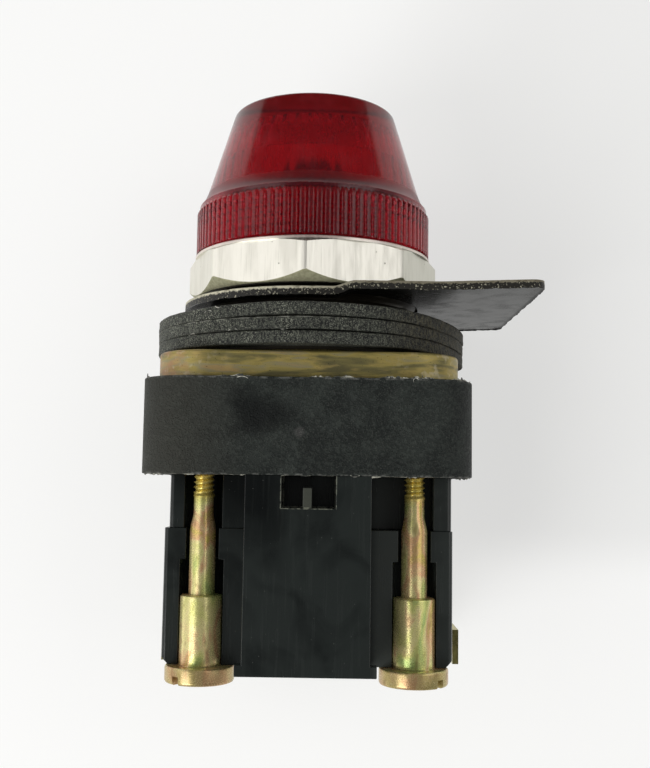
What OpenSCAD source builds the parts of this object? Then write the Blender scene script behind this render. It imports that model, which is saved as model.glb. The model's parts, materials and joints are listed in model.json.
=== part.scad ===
// Panel pilot light, 30.5 mm class: screw-on lens, octagonal ring nut, legend plate,
// three panel gaskets, die-cast bushing, moulded housing and a plug-on transformer
// module held by four long captive screws.
//
// +Z runs along the mounting axis towards the lens. The origin is on that axis, in
// the plane where the front gasket meets the back of the panel.

/* [Lens] */
// Radius over the ridges of the lens grip
grip_r = 16.8; // [16.2:0.1:17]
// Number of ridges round the grip
grip_ridges = 94; // [60:2:110]
// Depth of one ridge
ridge_depth = 0.35; // [0.2:0.05:0.5]
// Height of the grip's lower rim
grip_z = 10.1; // [10.1:0.1:10.6]
// Height of the grip's upper rim
grip_top_z = 16.3; // [15.5:0.1:16.8]
// Radius of the cone where it leaves the shoulder
cone_r = 15.4; // [15:0.1:15.6]
// Height at which the cone leaves the shoulder
cone_z = 18.9; // [18.6:0.1:19.4]
// Radius of the lens at its front edge
tip_r = 11.8; // [11.4:0.1:12.2]
// Height of the lens's front face
tip_z = 31.1; // [30.5:0.1:32]
// Number of light-spreading flutes inside the lens
flutes = 36; // [24:1:48]

/* [Ring nut] */
// Distance across the nut's flats
nut_flats = 33.1; // [32.5:0.1:33.6]
// Height of the nut's rear face
nut_z = 3.9; // [3.6:0.1:4.2]
// Height of the octagon's front edge
nut_top_z = 9.5; // [9.2:0.1:9.6]

/* [Legend plate] */
// Half width of the plate, and radius of its round end
plate_r = 18.2; // [17.6:0.1:19]
// Reach of the plate's square end from the axis
plate_reach = 30.3; // [28:0.1:34]
// Thickness of the plate's metal
plate_t = 0.75; // [0.5:0.05:0.8]

/* [Gaskets] */
// Outer radius of the gaskets
gasket_r = 21.7; // [20.5:0.1:22.2]
// Thickness of one gasket
gasket_t = 1.6; // [1.5:0.05:1.7]

/* [Bushing] */
// Diameter of the mounting thread
thread_d = 30.2; // [30:0.1:30.2]
// Width of the bushing's square flange
flange_w = 39.1; // [38.4:0.1:40]
// Height of the flange's front face
flange_top_z = -5.5; // [-5.7:0.1:-5.3]

/* [Housing] */
// Width and depth of the housing
housing_w = 42.1; // [42:0.1:43]
// Radius of the housing's corners
housing_corner = 6; // [5:0.5:7]
// Height of the housing's front face
housing_top_z = -9; // [-9.2:0.1:-8.8]
// Height of the housing's rear face
housing_z = -21.1; // [-21.4:0.1:-20.8]

/* [Transformer module] */
// Sideways seat of the module and its screws on the housing
module_x = 0.3; // [0:0.1:0.4]
// Width of the central box
box_w = 15.5; // [15:0.1:16]
// Depth of the central box, front to back
box_d = 42; // [41.6:0.1:42.4]
// Width over the wings
wing_w = 37.3; // [37:0.1:37.8]
// Depth over the wings, front to back
wing_d = 26.2; // [26:0.1:26.6]
// Height of the seam between base and cover
seam_z = -28; // [-28.4:0.1:-27.6]
// Height of the module's rear face
module_z = -45.3; // [-46:0.1:-45]

/* [Captive screws] */
// Distance from the axis to the screws, sideways
screw_x = 13.7; // [13.5:0.05:13.7]
// Distance from the axis to the screws, front to back
screw_y = 12.5; // [12.4:0.05:12.6]
// Diameter of the screw head
head_d = 8.9; // [8.2:0.1:9]
// Diameter of the collar under the head
collar_d = 5.4; // [5.2:0.1:5.4]
// Diameter of the long shank
shank_d = 3.35; // [3.2:0.05:3.4]
// Diameter of the thread
screw_thread_d = 2.74; // [2.7:0.01:2.76]

/* [Hidden] */
$fn = 96;

eps = 0.01;
thread_r = thread_d / 2;
neck_r = 14.1;
neck_top_z = 17;
lens_bore_r = neck_r + 0.1;
lens_shoulder_z = neck_top_z + 0.8;
lens_step_z = 23.5;
lens_roof_z = 28.2;
tip_round = 0.6;
flute_in_r = 10.5;
flute_out_r = 11.1;
prism_r = 9.4;
nut_corner_r = nut_flats / 2 / cos(22.5);
nut_bore_r = thread_r + 0.03;
nut_rim_r = 16.9;
nut_rim_z = 9.95;
nut_turn = -2;
key_w = 3;
key_depth = 1;
plate_hole_r = thread_r + 0.2;
plate_low_z = 2.05;
plate_step_x = 4.4;
plate_step = 0.8;
plate_bend_x = 17;
plate_rise = 0.55;
plate_corner = 2;
gasket_hole_r = thread_r + 0.3;
land_r = 18.6;
land_z = -3 * gasket_t;
bushing_bore_r = 12.4;
spigot_r = 13.4;
spigot_z = -12.2;
barrel_top_z = 9.8;
flange_corner = 7;
holder_rim_z = -14;
holder_z = -17;
holder_hole_r = 7.5;
holder_top_z = -2.2;
housing_screw_y = 17.2;
insert_r = 2.7;
insert_top_z = -14;
shell_r = 5;
shell_t = 0.35;
shell_z = -9.9;
shell_top_z = 3;
lamp_top_z = 22.5;
lamp_neck_z = 4.2;
lamp_cap_z = -6.6;
lamp_contact_z = -7.7;
pin_z = 0.4;
pocket_r = 3.1;
pocket_z = -12.9;
plunger_r = 2.6;
plunger_under_z = -8.9;
stem_r = 1.2;
strip_t = 0.3;
strip_z = housing_z - 1.6;
spring_wire_r = 0.2;
spring_r = 2.45;
spring_turns = 4;
screw_slot = 1;
wall = 1.8;
notch_x = 0.05;
notch_w = 6.7;
notch_z = -25.1;
slot_narrow = 4.2;
slot_wide = 5.6;
slot_wide_z = -32;
core_a = 4.1;
core_z = module_z + 1.5;
core_top_z = core_z + 5 * core_a;
core_t = 11;
coil_z = core_z + core_a;
coil_top_z = coil_z + 3 * core_a;
terminal_x = 15.2;
terminal_z = -38.8;
terminal_t = 0.8;
clamp_z = -43.4;
clamp_t = 1;
clamp_y = 4;
clamp_in = 12.1;
clamp_out = 20.7;
clamp_play = 0.7;
terminal_hole_r = 1.72;
terminal_head_z = -45.9;
black = [0.13, 0.13, 0.12];
zinc_gold = [0.72, 0.68, 0.42];
brass = [0.78, 0.62, 0.3];
steel = [0.72, 0.72, 0.7];

// ---------- shared shapes ----------

// Rectangle with round corners, centred on the origin
module round_plan(w, d, r) {
    square([w - 2 * r, d], center = true);
    square([w, d - 2 * r], center = true);
    for (x = [-1, 1], y = [-1, 1]) {
        translate([x * (w / 2 - r), y * (d / 2 - r)]) circle(r);
    }
}

// Prism of a plan between two heights
module between(z0, z1) {
    translate([0, 0, z0]) linear_extrude(z1 - z0) children();
}

// Ring between two radii and two heights
module ring(r_in, r_out, z0, z1) {
    between(z0, z1) difference() {
        circle(r_out);
        circle(r_in);
    }
}

// Outline with n equal ridges between two radii, flat on top of each ridge
module ridged_plan(n, r_in, r_out) {
    polygon([
        for (i = [0 : n - 1], k = [0 : 3])
            let (r = k < 2 ? r_out : r_in, a = 360 * (i + k / 4) / n)
            [r * cos(a), r * sin(a)]
    ]);
}

// Points on an arc about a centre
function arc(c, r, a0, a1, n) =
    [for (i = [0 : n]) let (a = a0 + (a1 - a0) * i / n) c + r * [cos(a), sin(a)]];

// Ring of a helix of round wire, as a closed sweep with eight sides
module wire_helix(r, wire, turns, z0, z1) {
    steps = turns * 20;
    sides = 8;
    points = [
        for (i = [0 : steps], k = [0 : sides - 1])
            let (
                turn = 360 * turns * i / steps,
                b = 360 * k / sides,
                reach = r + wire * cos(b),
                z = z0 + (z1 - z0) * i / steps + wire * sin(b)
            )
            [reach * cos(turn), reach * sin(turn), z]
    ];
    skin = [
        for (i = [0 : steps - 1], k = [0 : sides - 1])
            let (a = i * sides + k, b = i * sides + (k + 1) % sides)
            [a, a + sides, b + sides, b]
    ];
    start = [[for (k = [0 : sides - 1]) k]];
    finish = [[for (k = [sides - 1 : -1 : 0]) steps * sides + k]];
    polyhedron(points, concat(skin, start, finish));
}

// Puts a piece of the plug-on module in its seat
module seated() {
    translate([module_x, 0, 0]) children();
}

// Four copies of a shape drawn for the front left corner
module at_screws() {
    for (x = [-1, 1], y = [-1, 1]) {
        translate([module_x + x * screw_x, y * screw_y, 0]) children();
    }
}

// ---------- lens ----------

module lens_outside() {
    between(grip_z, grip_top_z - 0.3) ridged_plan(grip_ridges, grip_r - ridge_depth, grip_r);
    rotate_extrude() polygon(concat(
        [[0, grip_z + 0.3], [grip_r - ridge_depth, grip_z + 0.3]],
        [[grip_r - ridge_depth, grip_top_z]],
        [[(grip_r + cone_r) / 2, (grip_top_z + cone_z) / 2 - 0.1], [cone_r, cone_z]],
        arc([tip_r - tip_round, tip_z - tip_round], tip_round, 16, 90, 5),
        [[0, tip_z]]
    ));
    // Short bevel that closes the ridges against the shoulder
    between(grip_top_z - 0.3, grip_top_z) ridged_plan(grip_ridges, grip_r - ridge_depth, grip_r - 0.15);
}

module lens() {
    color([0.6, 0.06, 0.08, 0.8]) difference() {
        lens_outside();
        between(grip_z - 1, lens_shoulder_z) circle(lens_bore_r);
        between(lens_shoulder_z - eps, lens_step_z) ridged_plan(flutes, flute_in_r, flute_out_r);
        translate([0, 0, lens_step_z - eps])
            cylinder(h = lens_roof_z - lens_step_z, r1 = prism_r + 0.5, r2 = prism_r - 0.4);
    }
}

module lens_gasket() {
    color(black) ring(12.7, 13.8, neck_top_z, lens_shoulder_z);
}

// ---------- front hardware ----------

module ring_nut() {
    color([0.85, 0.85, 0.83]) difference() {
        union() {
            rotate(nut_turn) intersection() {
                between(nut_z, nut_top_z) circle(nut_corner_r, $fn = 8);
                rotate(22.5) rotate_extrude() polygon([
                    [0, nut_z], [nut_corner_r - 1.5, nut_z], [nut_corner_r, nut_z + 1.4],
                    [nut_corner_r, nut_top_z - 0.85], [nut_corner_r - 0.85, nut_top_z], [0, nut_top_z]
                ]);
            }
            between(nut_top_z - eps, nut_rim_z) circle(nut_rim_r);
        }
        between(nut_z - 1, nut_rim_z + 1) circle(nut_bore_r);
    }
}

// Side view of the plate: flat under the nut, one joggle, then a gentle rise
module plate_profile() {
    upper = plate_low_z + plate_step;
    polygon([
        [-plate_r - 1, plate_low_z], [plate_step_x - 0.5, plate_low_z],
        [plate_step_x + 0.5, upper], [plate_bend_x, upper],
        [plate_reach + 1, upper + plate_rise],
        [plate_reach + 1, upper + plate_rise + plate_t],
        [plate_bend_x, upper + plate_t], [plate_step_x + 0.5, upper + plate_t],
        [plate_step_x - 0.5, plate_low_z + plate_t], [-plate_r - 1, plate_low_z + plate_t]
    ]);
}

module plate_plan() {
    difference() {
        union() {
            circle(plate_r);
            translate([0, -plate_r]) square([plate_reach - plate_corner, 2 * plate_r]);
            translate([0, plate_corner - plate_r])
                square([plate_reach, 2 * (plate_r - plate_corner)]);
            for (y = [-1, 1]) {
                translate([plate_reach - plate_corner, y * (plate_r - plate_corner)])
                    circle(plate_corner);
            }
        }
        difference() {
            circle(plate_hole_r);
            translate([0, plate_hole_r]) square([key_w - 0.4, 2 * key_depth - 0.2], center = true);
        }
    }
}

module legend_plate() {
    color([0.45, 0.45, 0.42]) intersection() {
        rotate([90, 0, 0]) linear_extrude(2 * plate_r + 2, center = true) plate_profile();
        between(0, 9) plate_plan();
    }
}

module gasket(layer) {
    color(black) ring(gasket_hole_r, gasket_r, -(layer + 1) * gasket_t, -layer * gasket_t);
}

module gasket_front() { gasket(0); }
module gasket_middle() { gasket(1); }
module gasket_rear() { gasket(2); }

// ---------- bushing and housing ----------

module bushing() {
    color(brass) difference() {
        union() {
            between(housing_top_z, flange_top_z) round_plan(flange_w, flange_w, flange_corner);
            rotate_extrude() polygon([
                [0, spigot_z], [spigot_r, spigot_z], [spigot_r, flange_top_z - 1],
                [land_r, flange_top_z - 1], [land_r, land_z], [thread_r, land_z],
                [thread_r, barrel_top_z - 0.5], [thread_r - 0.5, barrel_top_z],
                [neck_r, barrel_top_z], [neck_r, neck_top_z - 0.4],
                [neck_r - 0.4, neck_top_z], [0, neck_top_z]
            ]);
        }
        between(spigot_z - 1, neck_top_z + 1) circle(bushing_bore_r);
        translate([0, thread_r, (land_z + barrel_top_z) / 2 + 1])
            cube([key_w, 2 * key_depth, barrel_top_z - land_z], center = true);
        for (y = [-1, 1]) {
            translate([0, y * housing_screw_y, housing_top_z - 1]) cylinder(h = 4, r = 1.6);
        }
    }
}

module housing() {
    color([0.22, 0.23, 0.21]) difference() {
        between(housing_z, housing_top_z) round_plan(housing_w, housing_w, housing_corner);
        between(holder_rim_z, housing_top_z + 1) circle(spigot_r + 0.1);
        between(housing_z - 1, holder_rim_z + 1) circle(holder_hole_r);
        for (y = [-1, 1]) {
            translate([0, y * housing_screw_y, housing_z - 1]) {
                cylinder(h = 20, r = 1.7);
                cylinder(h = 7.6, r = 3.1);
            }
        }
        at_screws() translate([0, 0, housing_z - 1])
            cylinder(h = insert_top_z - housing_z + 1.5, r = insert_r + 0.02);
    }
}

// Cheese-head screw along +Z with its head's rear face at z = 0
module machine_screw(head_r, head_h, shank_r, length) {
    difference() {
        union() {
            cylinder(h = head_h, r = head_r);
            translate([0, 0, head_h - eps]) cylinder(h = length + eps, r = shank_r);
        }
        cube([2 * head_r + 1, 0.9, head_h], center = true);
    }
}

module housing_screws() {
    color(steel) for (y = [-1, 1]) {
        translate([0, y * housing_screw_y, housing_z + 4.2])
            machine_screw(2.7, 2.4, 1.55, 8.4);
    }
}

module screw_inserts() {
    color(brass) at_screws()
        ring(screw_thread_d / 2 + 0.05, insert_r, housing_z, insert_top_z);
}

// ---------- lamp and its holder ----------

module lamp_holder() {
    color([0.2, 0.2, 0.2]) difference() {
        rotate_extrude() polygon([
            [stem_r + 0.1, holder_z], [holder_hole_r - 0.1, holder_z],
            [holder_hole_r - 0.1, holder_rim_z], [spigot_r, holder_rim_z],
            [spigot_r, spigot_z], [6.6, spigot_z], [6.6, holder_top_z],
            [shell_r + 0.02, holder_top_z], [shell_r + 0.02, shell_z - 0.1],
            [pocket_r, shell_z - 0.1], [pocket_r, pocket_z], [stem_r + 0.1, pocket_z]
        ]);
        // Ways out for the two contact strips
        translate([-1.5, shell_r - 0.65, holder_z - 1]) cube([3, 0.65, 8]);
        translate([-1.5, -2.9, holder_z - 1]) cube([3, 0.5, pocket_z - holder_z + 1 + eps]);
    }
}

// Tube with two J-shaped bayonet slots
module socket_shell() {
    slot = 2.1;
    color(brass) difference() {
        ring(shell_r - shell_t, shell_r, shell_z, shell_top_z);
        for (side = [0, 180]) {
            rotate(side) {
                translate([0, -slot / 2, pin_z - 2.3]) cube([8, slot, 9]);
                for (a = [0 : 6 : 36]) {
                    rotate(a) translate([0, -slot / 2, pin_z - 2.3]) cube([8, slot, 2.4]);
                }
                rotate(36) translate([0, -slot / 2, pin_z - 2.3]) cube([8, slot, 3.4]);
            }
        }
    }
}

module shell_contact_strip() {
    color(brass) {
        translate([-1.4, shell_r - 0.6, strip_z]) cube([2.8, strip_t, shell_z - strip_z]);
        ring(shell_r - 1.2, shell_r - 0.05, shell_z - 0.1, shell_z);
    }
}

module centre_contact_strip() {
    color(brass) {
        ring(stem_r + 0.2, pocket_r - 0.1, pocket_z, pocket_z + strip_t);
        translate([-1.4, -2.8, strip_z]) cube([2.8, strip_t, pocket_z - strip_z + eps]);
    }
}

module lamp_glass() {
    bulb_r = 5.15;
    color([0.9, 0.9, 0.88, 0.5]) rotate_extrude() polygon(concat(
        [[0, lamp_neck_z - 2], [4, lamp_neck_z - 2], [4, lamp_neck_z + 2]],
        arc([0, lamp_top_z - bulb_r - 3], bulb_r, -35, 0, 5),
        arc([0, lamp_top_z - bulb_r], bulb_r, 0, 90, 12)
    ));
}

module lamp_cap() {
    color(brass) {
        difference() {
            rotate_extrude() polygon([
                [0, lamp_contact_z], [1.1, lamp_contact_z], [1.5, lamp_cap_z],
                [3.6, lamp_cap_z], [4.5, lamp_cap_z + 1], [4.5, lamp_neck_z], [0, lamp_neck_z]
            ]);
            between(lamp_neck_z - 2, lamp_neck_z + 1) circle(4);
        }
        rotate(36) for (side = [-1, 1]) {
            translate([side * 4.2, 0, pin_z]) rotate([0, side * 90, 0]) cylinder(h = 1.4, r = 0.8);
        }
    }
}

module contact_plunger() {
    color(brass) rotate_extrude() polygon([
        [0, holder_z - 1], [stem_r, holder_z - 1], [stem_r, plunger_under_z],
        [plunger_r, plunger_under_z], [plunger_r, lamp_contact_z], [0, lamp_contact_z]
    ]);
}

module contact_spring() {
    color(steel) wire_helix(spring_r, spring_wire_r, spring_turns,
        pocket_z + strip_t + spring_wire_r, plunger_under_z - spring_wire_r);
}

// ---------- transformer module ----------

// Slot for one captive screw, open to the front: drawn for the front left corner
module screw_slot_plan(w) {
    circle(w / 2);
    translate([-w / 2, -6]) square([w, 6]);
}

// Slots at the four corners, mirrored for the back
module corner_slots(w, z0, z1) {
    for (x = [-1, 1], side = [0, 180]) {
        rotate(side) translate([x * screw_x, -screw_y, 0]) between(z0, z1) screw_slot_plan(w);
    }
}

module module_base() {
    color(black) difference() {
        between(seam_z, housing_z) translate([0.2, 0]) round_plan(wing_w - 0.7, wing_d - 0.4, 0.6);
        corner_slots(4.9, seam_z - 1, housing_z + 1);
        // Deep recess beside the box, front right and back left
        for (side = [0, 180]) {
            rotate(side) translate([box_w / 2, -wing_d, seam_z - 1])
                cube([screw_x + 2.45 - box_w / 2, wing_d - 9.4, 10]);
        }
        between(seam_z - 1, core_top_z + 0.3) square([core_t + 0.6, wing_d], center = true);
        between(seam_z - 1, coil_top_z + 0.2) square([19.2, 16.6], center = true);
        between(seam_z - 1, housing_z + 1) circle(6);
    }
}

module notch_cut() {
    translate([notch_x - notch_w / 2, -box_d / 2 - 1, notch_z])
        cube([notch_w, wall + 1 + eps, housing_z - notch_z + 1]);
}

module module_cover_outside() {
    difference() {
        union() {
            between(module_z, seam_z) round_plan(wing_w, wing_d, 0.6);
            for (y = [-1, 1]) {
                between(module_z, housing_z) translate([0, y * (box_d + wing_d) / 4])
                    square([box_w, (box_d - wing_d) / 2], center = true);
            }
        }
        // Bevel along the rear edge of each wing
        for (x = [-1, 1]) {
            translate([x * wing_w / 2, 0, module_z]) rotate([0, 45, 0])
                cube([1.3, wing_d + 1, 1.3], center = true);
        }
    }
    // Small feet beside the rear corners of the box
    for (x = [-1, 1], y = [-1, 1]) {
        translate([x * (box_w / 2 + 0.4), y * (box_d / 2 - 0.8), module_z + 0.7])
            cube([0.9, 1.6, 1.4], center = true);
    }
}

// Bay for one wire terminal, drawn for the right side
module terminal_bay() {
    translate([11.3, -4.5, module_z - 1]) cube([20, 9, terminal_z + terminal_t - module_z + 1]);
    translate([terminal_x, 0, terminal_z]) cylinder(h = 8.4, r = 1.9);
    translate([11.5, -1.6, terminal_z]) cube([0.9, 3.2, 5.8]);
    translate([9, -1.6, terminal_z + 5]) cube([3.4, 3.2, 0.9]);
}

module module_cover() {
    color(black) {
        difference() {
            module_cover_outside();
            corner_slots(slot_narrow, slot_wide_z - 1, housing_z + 1);
            corner_slots(slot_wide, module_z - 1, slot_wide_z);
            between(core_z, seam_z + 1) square([12.2, wing_d - 0.2], center = true);
            between(coil_z - 0.3, seam_z + 1) square([19.2, 17.8], center = true);
            for (y = [-1, 1]) {
                between(core_z, housing_z + 1)
                    translate([0, y * (box_d / 2 - wall - 2.4)]) square([12.2, 4.8], center = true);
            }
            notch_cut();
            terminal_bay();
            mirror([1, 0, 0]) terminal_bay();
        }
        // Upright rib in the notch
        translate([notch_x - 0.7, wall - box_d / 2 - 1.6, notch_z - eps]) cube([1.1, 1.6, 2.5]);
    }
}

// Stack of E and I laminations round the coil
module transformer_core() {
    color([0.35, 0.33, 0.32]) difference() {
        translate([0, 0, (core_z + core_top_z) / 2])
            cube([core_t, 6 * core_a, 5 * core_a], center = true);
        for (y = [-1, 1]) {
            translate([0, y * 1.5 * core_a, (coil_z + coil_top_z) / 2])
                cube([core_t + 1, core_a, 3 * core_a], center = true);
        }
    }
}

// Hollow rectangular layer round the core's middle leg
module coil_layer(inset, thickness, z0, z1) {
    x = core_t + 2 * inset;
    y = 2 * core_a + 2 * inset;
    between(z0, z1) difference() {
        round_plan(x + 2 * thickness, y + 2 * thickness, thickness * 0.6);
        square([x, y], center = true);
    }
}

// Height of the flange that parts the two windings
coil_split_z = coil_z + 7.6;

module coil_bobbin() {
    color([0.9, 0.88, 0.8]) {
        coil_layer(0.05, 0.65, coil_z + 0.1, coil_top_z - 0.1);
        for (z = [coil_z + 0.1, coil_split_z, coil_top_z - 0.9]) {
            coil_layer(0.05, 3.5, z, z + 0.8);
        }
    }
}

module primary_winding() {
    color([0.72, 0.36, 0.16]) coil_layer(0.72, 2.5, coil_z + 0.92, coil_split_z - 0.02);
}

module secondary_winding() {
    color([0.8, 0.45, 0.2]) coil_layer(0.72, 2.5, coil_split_z + 0.82, coil_top_z - 0.92);
}

// ---------- wire terminals, drawn for the right side ----------

module terminal() {
    color(brass) difference() {
        union() {
            translate([11.6, -3.6, terminal_z]) cube([6.4, 7.2, terminal_t]);
            translate([11.6, -1.5, terminal_z]) cube([0.7, 3, 5.8]);
            translate([9.9, -1.5, terminal_z + 5.1]) cube([2, 3, 0.7]);
        }
        translate([terminal_x, 0, terminal_z - 1]) cylinder(h = 3, r = terminal_hole_r);
    }
}

module clamp_plate(shift) {
    color(zinc_gold) difference() {
        translate([shift, -clamp_y, 0]) {
            translate([clamp_in, 0, clamp_z]) cube([clamp_out - clamp_in, 2 * clamp_y, clamp_t]);
            translate([clamp_out - 0.8, 0, clamp_z - 2.9]) cube([0.8, 2 * clamp_y, 4.6]);
        }
        // Slotted hole: it lets the plate shift on its screw
        translate([terminal_x, 0, clamp_z - 1]) {
            for (x = [-1, 1]) {
                translate([x * clamp_play, 0, 0]) cylinder(h = 3, r = terminal_hole_r);
            }
            translate([-clamp_play, -terminal_hole_r, 0]) cube([2 * clamp_play, 2 * terminal_hole_r, 3]);
        }
    }
}

module terminal_screw() {
    color(steel) translate([terminal_x, 0, terminal_head_z])
        machine_screw(3.1, clamp_z - terminal_head_z, 1.65, 8.9);
}

module terminal_left() { mirror([1, 0, 0]) terminal(); }
module terminal_right() { terminal(); }
module clamp_plate_left() { mirror([1, 0, 0]) clamp_plate(-clamp_play); }
module clamp_plate_right() { clamp_plate(-0.2 * clamp_play); }
module terminal_screw_left() { mirror([1, 0, 0]) terminal_screw(); }
module terminal_screw_right() { terminal_screw(); }

// ---------- captive screws ----------

// Long stepped screw: head, guide collar, shank, thinned neck and thread
module captive_screw(slot_angle) {
    head_r = head_d / 2;
    collar_top = -36.5;
    neck_z = -27.4;
    thread_z = -23.9;
    thread_top = -15.6;
    head_h = 2.1;
    color(zinc_gold) difference() {
        rotate_extrude() polygon([
            [0, module_z - head_h], [head_r - 0.3, module_z - head_h],
            [head_r, module_z - head_h + 0.3], [head_r, module_z - 0.15],
            [head_r - 0.15, module_z], [collar_d / 2, module_z],
            [collar_d / 2, collar_top - 0.3], [collar_d / 2 - 0.3, collar_top],
            [shank_d / 2, collar_top], [shank_d / 2, neck_z - 0.5],
            [1.28, neck_z], [1.28, thread_z], [screw_thread_d / 2, thread_z + 0.1],
            [screw_thread_d / 2, thread_top - 0.5], [1, thread_top], [0, thread_top]
        ]);
        translate([0, 0, module_z - head_h]) rotate(slot_angle)
            cube([screw_slot, head_d + 1, 2.2], center = true);
    }
}

module captive_screw_front_left() {
    translate([-screw_x, -screw_y, 0]) captive_screw(-36);
}
module captive_screw_front_right() {
    translate([screw_x, -screw_y, 0]) captive_screw(45);
}
module captive_screw_back_left() {
    translate([-screw_x, screw_y, 0]) captive_screw(12);
}
module captive_screw_back_right() {
    translate([screw_x, screw_y, 0]) captive_screw(-70);
}

lens();
lens_gasket();
ring_nut();
legend_plate();
gasket_front();
gasket_middle();
gasket_rear();
bushing();
housing();
housing_screws();
screw_inserts();
lamp_holder();
socket_shell();
shell_contact_strip();
centre_contact_strip();
lamp_glass();
lamp_cap();
contact_plunger();
contact_spring();
seated() module_base();
seated() module_cover();
seated() transformer_core();
seated() coil_bobbin();
seated() primary_winding();
seated() secondary_winding();
seated() terminal_left();
seated() terminal_right();
seated() clamp_plate_left();
seated() clamp_plate_right();
seated() terminal_screw_left();
seated() terminal_screw_right();
seated() captive_screw_front_left();
seated() captive_screw_front_right();
seated() captive_screw_back_left();
seated() captive_screw_back_right();
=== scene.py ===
"""Looks of a panel pilot light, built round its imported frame.

Each sub-assembly is a class with its sizes as fields, in millimetres, and each finish
is a frozen dataclass that writes one procedural material. The row frame has +Z along
the mounting axis towards the lens, and the panel's back face lies in the plane z = 0.
"""

import json
import logging
import math
from dataclasses import dataclass
from enum import Enum
from typing import Any, Callable, Iterable, Sequence

import bmesh
import bpy
from mathutils import Matrix, Vector, noise


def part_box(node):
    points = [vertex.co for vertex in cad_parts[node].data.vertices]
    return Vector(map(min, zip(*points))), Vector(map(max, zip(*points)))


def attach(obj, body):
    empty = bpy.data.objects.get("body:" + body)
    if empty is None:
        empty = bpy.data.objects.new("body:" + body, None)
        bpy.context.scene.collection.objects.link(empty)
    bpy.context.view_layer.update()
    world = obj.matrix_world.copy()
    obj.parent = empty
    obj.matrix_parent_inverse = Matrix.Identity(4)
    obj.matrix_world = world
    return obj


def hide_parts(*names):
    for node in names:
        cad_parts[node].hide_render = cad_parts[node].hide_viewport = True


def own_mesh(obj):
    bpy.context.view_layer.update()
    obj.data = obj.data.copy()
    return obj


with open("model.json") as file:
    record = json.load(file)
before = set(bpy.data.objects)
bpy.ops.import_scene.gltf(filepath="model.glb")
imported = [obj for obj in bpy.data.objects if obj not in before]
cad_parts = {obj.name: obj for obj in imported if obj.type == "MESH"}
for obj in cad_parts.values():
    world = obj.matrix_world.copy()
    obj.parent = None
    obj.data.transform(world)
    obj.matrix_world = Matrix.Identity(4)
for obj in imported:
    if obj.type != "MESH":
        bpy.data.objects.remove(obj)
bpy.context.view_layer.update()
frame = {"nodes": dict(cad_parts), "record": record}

MM = 0.001
LOG = logging.getLogger("pilot_light")
Outline = Sequence[tuple[float, float]]
Colour = tuple[float, float, float]
Chooser = Callable[[Vector], bool]
NO_SEAM = 99.0  # a height, in millimetres, that no gasket reaches


def tone(red: float, green: float, blue: float) -> tuple[float, float, float, float]:
    """Turn a display colour, 0 to 255 a channel, into a linear one.

    Args:
        red: Display red.
        green: Display green.
        blue: Display blue.

    Returns:
        The linear colour with an alpha of 1.
    """
    def linear(channel: float) -> float:
        """Undo the display curve for one channel."""
        share = channel / 255
        return share / 12.92 if share <= 0.04045 else ((share + 0.055) / 1.055) ** 2.4

    return (linear(red), linear(green), linear(blue), 1.0)


def grey(level: float) -> tuple[float, float, float, float]:
    """A plain grey of a linear level."""
    return (level, level, level, 1.0)


class Slot(Enum):
    """Material slots of the record that the pieces take their finishes from."""

    LENS = "lens_red"
    RUBBER = "gasket_rubber"
    NUT = "nut_metal"
    PLATE = "plate_metal"
    BUSHING = "bushing_metal"
    HOUSING = "housing_plastic"
    MODULE = "module_plastic"
    ZINC = "screw_zinc"
    BRASS = "brass"
    STEEL = "steel"
    GLASS = "lamp_glass"
    CORE = "core_steel"
    BOBBIN = "bobbin_plastic"
    COPPER = "copper"


# ---------------------------------------------------------------- shader tools


class Term:
    """A number socket that can stand in a sum, so that shader maths reads as maths."""

    def __init__(self, shader: "Shader", socket: Any) -> None:
        """Wrap a socket of a shader's node tree."""
        self.shader = shader
        self.socket = socket

    def _math(self, operation: str, *values: Any) -> "Term":
        """Add one Math node on the given values."""
        inputs = dict(enumerate(values))
        return self.shader.term("ShaderNodeMath", {"operation": operation}, inputs)

    def __add__(self, other: Any) -> "Term":
        """Sum."""
        return self._math("ADD", self, other)

    def __sub__(self, other: Any) -> "Term":
        """Difference."""
        return self._math("SUBTRACT", self, other)

    def __rsub__(self, other: Any) -> "Term":
        """Difference from a number."""
        return self._math("SUBTRACT", other, self)

    def __mul__(self, other: Any) -> "Term":
        """Product."""
        return self._math("MULTIPLY", self, other)

    def __pow__(self, other: Any) -> "Term":
        """Power."""
        return self._math("POWER", self, other)

    def least(self, other: Any) -> "Term":
        """Smaller of two values."""
        return self._math("MINIMUM", self, other)

    def most(self, other: Any) -> "Term":
        """Larger of two values."""
        return self._math("MAXIMUM", self, other)

    def size(self) -> "Term":
        """Absolute value."""
        return self._math("ABSOLUTE", self)

    def wave(self) -> "Term":
        """Sine."""
        return self._math("SINE", self)

    def step(self, low: float, high: float) -> "Term":
        """Smooth step from 0 at low to 1 at high; it falls where high is the smaller."""
        settings = {"interpolation_type": "SMOOTHSTEP"}
        return self.shader.term("ShaderNodeMapRange", settings, {0: self, 1: low, 2: high})


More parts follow.
